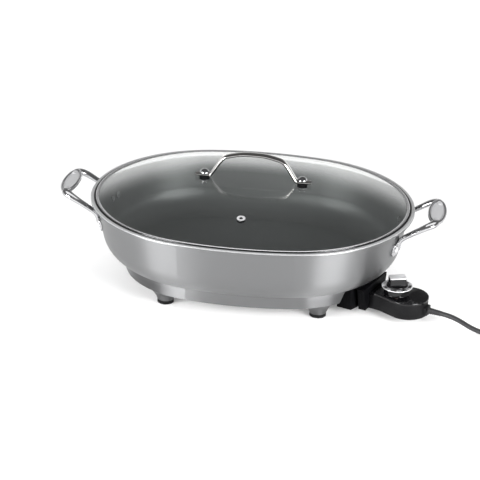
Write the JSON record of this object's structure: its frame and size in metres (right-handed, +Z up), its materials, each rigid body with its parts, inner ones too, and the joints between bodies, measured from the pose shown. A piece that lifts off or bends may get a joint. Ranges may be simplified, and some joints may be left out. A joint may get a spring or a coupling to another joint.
{
  "type": "electric skillet",
  "caption": "Oval electric skillet: cast pan on moulded legs, lift-off domed glass lid, side handles, and a plug-in temperature control with a dial and power cord.",
  "frame": {"origin": "on the table under the middle of the pan, at the feet's undersides", "axes": "+X along the pan's length towards the handle beside the control, +Y to the back, +Z up"},
  "size_m": [0.6438, 0.32, 0.1756],
  "materials": {
    "coated_casting": "satin grey coating over a cast pan, darker non-stick inside",
    "polished_steel": "polished",
    "lid_band": "satin",
    "lid_glass": "clear, smooth",
    "gloss_black": "glossy",
    "matt_black": "fine matt texture",
    "black_rubber": "matt",
    "cord_sheath": "satin",
    "silver_trim": "satin, with dark numbers on the dial",
    "contact_metal": "plain",
    "plain_steel": "plain",
    "white_ceramic": "matt",
    "amber_lens": "clear tinted"
  },
  "bodies": {
    "pan": {"pan": "coated_casting", "left_handle": "polished_steel", "right_handle": "polished_steel", "handle_rivets": "polished_steel", "foot_front_left": "black_rubber", "foot_back_left": "black_rubber", "foot_front_right": "black_rubber", "foot_back_right": "black_rubber", "foot_screws": "plain_steel", "heating_element": "plain_steel", "terminal_pins": "contact_metal", "terminal_beads": "white_ceramic", "terminal_guard": "matt_black", "guard_screws": "plain_steel"},
    "lid": {"lid_glass": "lid_glass", "lid_rim": "lid_band", "lid_handle": "polished_steel", "lid_upper_washers": "black_rubber", "lid_lower_washers": "black_rubber", "lid_screws": "plain_steel", "lid_cap_nuts": "polished_steel", "vent_grommet": "polished_steel"},
    "control": {"probe_base": "matt_black", "probe_cover": "gloss_black", "probe_flange": "matt_black", "contact_sleeves": "contact_metal", "sensor_stem": "plain_steel", "probe_screws": "plain_steel", "thermostat_frame": "plain_steel", "thermostat_insulators": "white_ceramic", "thermostat_blades": "contact_metal", "indicator_lens": "amber_lens", "indicator_lamp": "lid_glass", "strain_relief": "black_rubber", "power_cord": "cord_sheath", "cord_coil": "cord_sheath", "cord_tie": "black_rubber", "plug_body": "cord_sheath", "plug_blades": "contact_metal"},
    "dial": {"dial_shaft": "plain_steel", "dial_ring": "silver_trim", "dial_knob": "gloss_black", "dial_cap": "silver_trim"}
  },
  "joints": [
    {"name": "lid_lift", "type": "slide", "parent": "pan", "child": "lid", "axis": [0, 0, 1], "range_m": [0, 0.15]},
    {"name": "control_unplug", "type": "slide", "parent": "pan", "child": "control", "axis": [0.9397, -0.342, 0], "range_m": [0, 0.06]},
    {"name": "dial_turn", "type": "hinge", "parent": "control", "child": "dial", "pos_m": [0.1874, -0.05219, 0.038], "axis": [0, 0, -1], "range_deg": [0, 270]}
  ]
}
